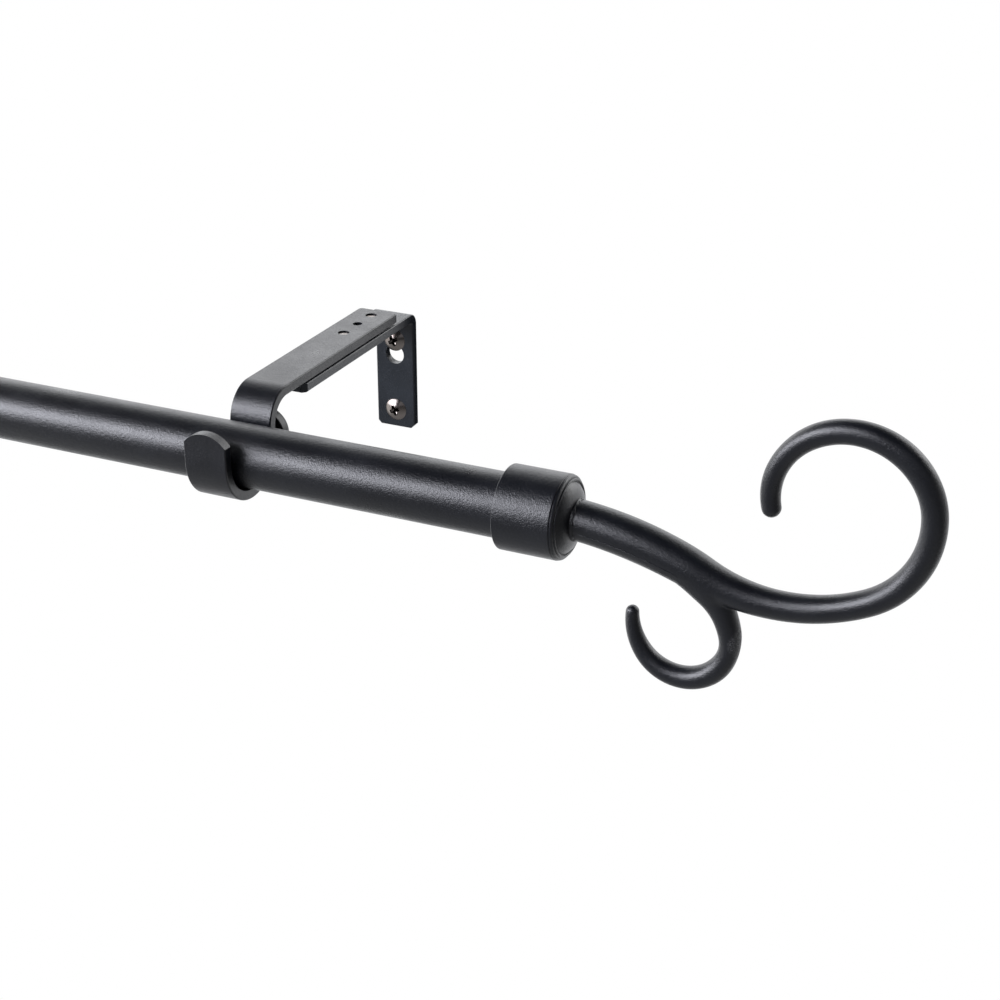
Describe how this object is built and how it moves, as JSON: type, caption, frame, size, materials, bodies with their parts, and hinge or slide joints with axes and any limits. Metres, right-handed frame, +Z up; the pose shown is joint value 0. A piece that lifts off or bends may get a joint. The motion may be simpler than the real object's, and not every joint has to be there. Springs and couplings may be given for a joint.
{
  "type": "curtain rod with brackets",
  "caption": "Telescoping black curtain rod in adjustable flat-bar wall brackets, with cast scroll finials on short collars.",
  "frame": {"origin": "on the wall's face, in the middle of the four wall screws", "axes": "+X along the rod towards the right-hand finial, +Y into the wall, +Z up"},
  "size_m": [1.0872, 0.193, 0.1176],
  "materials": {
    "rod_coat": "satin black powder coat",
    "plate_coat": "satin black powder coat",
    "arm_coat": "satin black powder coat",
    "finial_coat": "satin black powder coat over a casting",
    "dark_nickel": "dark nickel plated, half gloss",
    "zinc": "bright zinc plated, half gloss",
    "knob_black": "matt black plastic",
    "liner_nylon": "matt black nylon"
  },
  "bodies": {
    "wall_plates": {"wall_plate_right": "plate_coat", "wall_screws_right": "dark_nickel", "wall_plate_left": "plate_coat", "wall_screws_left": "dark_nickel"},
    "outer_rod": {"outer_tube": "rod_coat"},
    "inner_rod": {"inner_tube": "rod_coat"},
    "arm_right": {"arm_right": "arm_coat", "adjusting_screws_right": "dark_nickel"},
    "clamp_shank_right": {"clamp_shank_right": "zinc"},
    "clamp_knob_right": {"clamp_knob_right": "knob_black"},
    "socket_right": {"liner_right": "liner_nylon"},
    "finial_right": {"collar_right": "finial_coat", "scroll_right": "finial_coat", "finial_screw_right": "zinc", "washer_right": "zinc"},
    "arm_left": {"arm_left": "arm_coat", "adjusting_screws_left": "dark_nickel"},
    "clamp_shank_left": {"clamp_shank_left": "zinc"},
    "clamp_knob_left": {"clamp_knob_left": "knob_black"},
    "socket_left": {"liner_left": "liner_nylon"},
    "finial_left": {"collar_left": "finial_coat", "scroll_left": "finial_coat", "finial_screw_left": "zinc", "washer_left": "zinc"}
  },
  "joints": [
    {"name": "projection_right", "type": "slide", "parent": "wall_plates", "child": "arm_right", "axis": [0, -1, 0], "range_m": [-0.005, 0.035]},
    {"name": "projection_left", "type": "slide", "parent": "wall_plates", "child": "arm_left", "axis": [0, -1, 0], "range_m": [-0.005, 0.035]},
    {"name": "rod_lift", "type": "slide", "parent": "arm_right", "child": "outer_rod", "axis": [0, 0, 1], "range_m": [0, 0.04]},
    {"name": "rod_telescope", "type": "slide", "parent": "outer_rod", "child": "inner_rod", "axis": [-1, 0, 0], "range_m": [-0.0508, 0.4572]},
    {"name": "finial_pull_right", "type": "slide", "parent": "outer_rod", "child": "socket_right", "axis": [1, 0, 0], "range_m": [0, 0.03]},
    {"name": "finial_turn_right", "type": "hinge", "parent": "socket_right", "child": "finial_right", "pos_m": [0.39, -0.1425, 0.0154], "axis": [1, 0, 0], "continuous": true},
    {"name": "finial_pull_left", "type": "slide", "parent": "inner_rod", "child": "socket_left", "axis": [-1, 0, 0], "range_m": [0, 0.03]},
    {"name": "finial_turn_left", "type": "hinge", "parent": "socket_left", "child": "finial_left", "pos_m": [-0.39, -0.1425, 0.0154], "axis": [1, 0, 0], "continuous": true},
    {"name": "clamp_slide_right", "type": "slide", "parent": "arm_right", "child": "clamp_shank_right", "axis": [0, 1, 0], "range_m": [0, 0.0041]},
    {"name": "clamp_turn_right", "type": "hinge", "parent": "clamp_shank_right", "child": "clamp_knob_right", "pos_m": [0.26, -0.1425, 0.0154], "axis": [0, 1, 0], "range_deg": [0, 1800]},
    {"name": "clamp_slide_left", "type": "slide", "parent": "arm_left", "child": "clamp_shank_left", "axis": [0, 1, 0], "range_m": [0, 0.0041]},
    {"name": "clamp_turn_left", "type": "hinge", "parent": "clamp_shank_left", "child": "clamp_knob_left", "pos_m": [-0.26, -0.1425, 0.0154], "axis": [0, 1, 0], "range_deg": [0, 1800]}
  ],
  "couplings": [
    {"joint": "projection_left", "follows": "projection_right", "ratio": 1},
    {"joint": "clamp_slide_right", "follows": "clamp_turn_right", "m_per_rad": 0.00012732},
    {"joint": "clamp_slide_left", "follows": "clamp_turn_left", "m_per_rad": 0.00012732}
  ]
}
